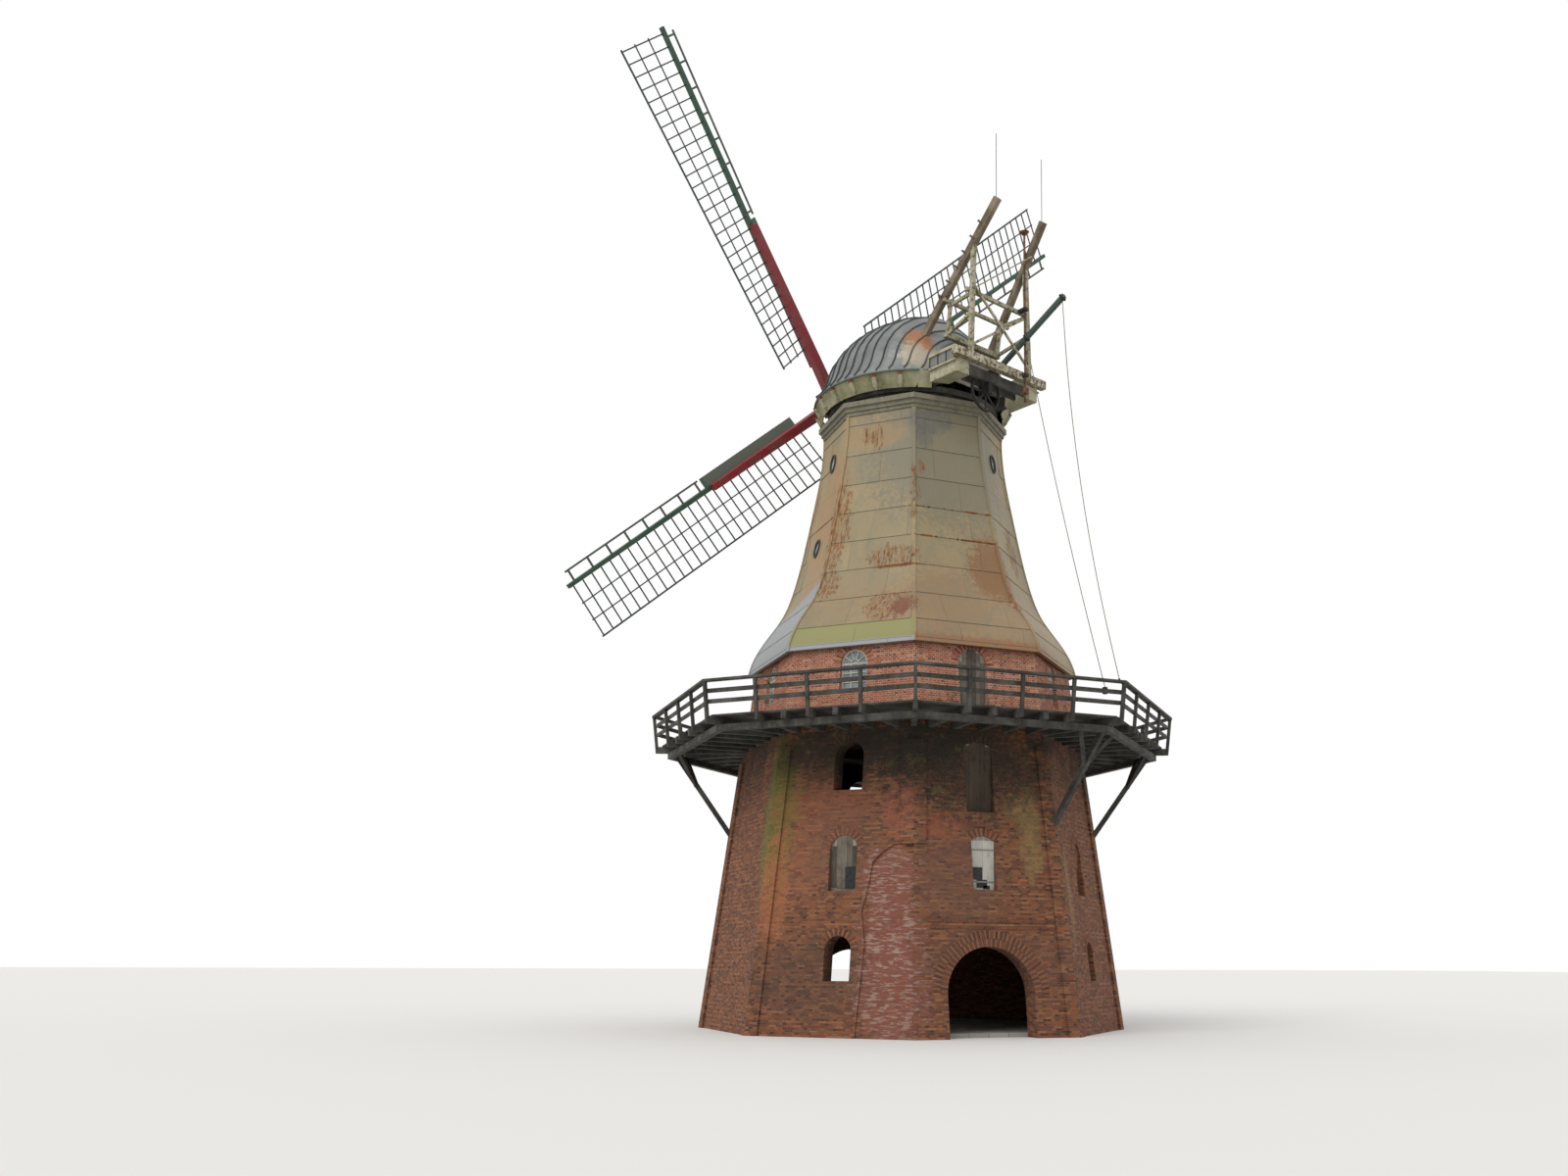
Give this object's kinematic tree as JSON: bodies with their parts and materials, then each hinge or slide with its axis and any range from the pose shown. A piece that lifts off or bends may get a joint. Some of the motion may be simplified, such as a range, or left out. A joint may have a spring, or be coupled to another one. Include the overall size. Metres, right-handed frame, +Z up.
{
  "type": "traditional windmill",
  "caption": "Gallery windmill with a battered brick tower, bell-shaped smock, turning ogee cap and lattice sails.",
  "frame": {"origin": "centre of the tower at ground level, on the mill axis", "axes": "+Z up the mill axis; -Y out of the side with the cart gate and the gallery door; +X to the right hand of someone who faces that side"},
  "size_m": [18.4905, 15.9282, 30.4355],
  "materials": {
    "brick": "weathered red brick with pale joints",
    "cast_iron": "rusted iron",
    "dark_timber": "tarred timber",
    "floor_timber": "raw boards",
    "green_paint": "dark green paint",
    "grey_boards": "grey-green boards",
    "red_paint": "dark red paint",
    "roof_metal": "grey standing-seam sheet",
    "rope": "weathered rope",
    "smock_sheet": "painted sheet with rust streaks",
    "stone": "worn flags",
    "weathered_boards": "bare weathered boards",
    "white_paint": "peeling white paint",
    "window_glass": "clear panes"
  },
  "bodies": {
    "tower": {"boarded_shutters": "weathered_boards", "brick_wall_back": "brick", "brick_wall_back_left": "brick", "brick_wall_back_right": "brick", "brick_wall_front": "brick", "brick_wall_front_left": "brick", "brick_wall_front_right": "brick", "brick_wall_left": "brick", "brick_wall_right": "brick", "cap_curb": "dark_timber", "floor_beams": "floor_timber", "gallery_deck": "dark_timber", "gallery_doors": "weathered_boards", "gallery_joists": "dark_timber", "gallery_posts": "dark_timber", "gallery_rails": "dark_timber", "gallery_ring_beam": "dark_timber", "gallery_struts": "dark_timber", "gallery_window_frames": "white_paint", "porthole_frames": "white_paint", "smock_corner_strips": "smock_sheet", "smock_cornice": "smock_sheet", "smock_floors": "floor_timber", "smock_sides_diagonal": "smock_sheet", "smock_sides_square": "smock_sheet", "stone_floor": "stone", "tower_floors": "floor_timber", "window_panes": "window_glass"},
    "cap": {"cap_ring": "dark_timber", "cap_roof": "roof_metal", "cap_gables": "weathered_boards", "eaves_soffit": "weathered_boards", "eaves_brackets": "white_paint", "cap_tail_beams": "dark_timber", "cap_cross_beams": "dark_timber", "tail_casings": "white_paint", "tail_cross_beam": "white_paint", "fan_beams": "weathered_boards", "stage_posts": "weathered_boards", "stage_rails": "weathered_boards", "stage_braces": "weathered_boards", "drive_shaft_bearings": "cast_iron", "winding_wheel_hanger": "cast_iron", "brake_bracket": "cast_iron", "lightning_rods": "cast_iron", "shaft_bearings": "dark_timber"},
    "sails": {"windshaft": "cast_iron", "poll_end": "cast_iron", "sail_stocks": "red_paint", "sail_whips": "green_paint", "sail_lattices": "green_paint", "leading_boards": "grey_boards", "leading_ladders": "green_paint"},
    "winding_wheel": {"winding_wheel": "cast_iron"},
    "drive_shaft": {"fan_drive_shaft": "cast_iron"},
    "brake_lever": {"brake_pole": "green_paint", "brake_ropes": "rope", "rope_fittings": "cast_iron"}
  },
  "joints": [
    {"name": "cap_turn", "type": "hinge", "parent": "tower", "child": "cap", "pos_m": [0, 0, 19.15], "axis": [0, 0, 1], "continuous": true},
    {"name": "sails_turn", "type": "hinge", "parent": "cap", "child": "sails", "pos_m": [-1.30051, 3.60244, 21.17], "axis": [-0.3341, 0.9255, 0.1783], "continuous": true},
    {"name": "winding_wheel_spin", "type": "hinge", "parent": "cap", "child": "winding_wheel", "pos_m": [0.94652, -3.35812, 19.1], "axis": [-0.3396, 0.9406, 0], "continuous": true},
    {"name": "drive_shaft_spin", "type": "hinge", "parent": "cap", "child": "drive_shaft", "pos_m": [2.23977, -3.46536, 21.7], "axis": [0, 0, 1], "continuous": true},
    {"name": "brake_lever_tilt", "type": "hinge", "parent": "cap", "child": "brake_lever", "pos_m": [1.72361, -2.41843, 20.18969], "axis": [-0.9406, -0.3396, 0], "range_deg": [-3, 5]}
  ]
}
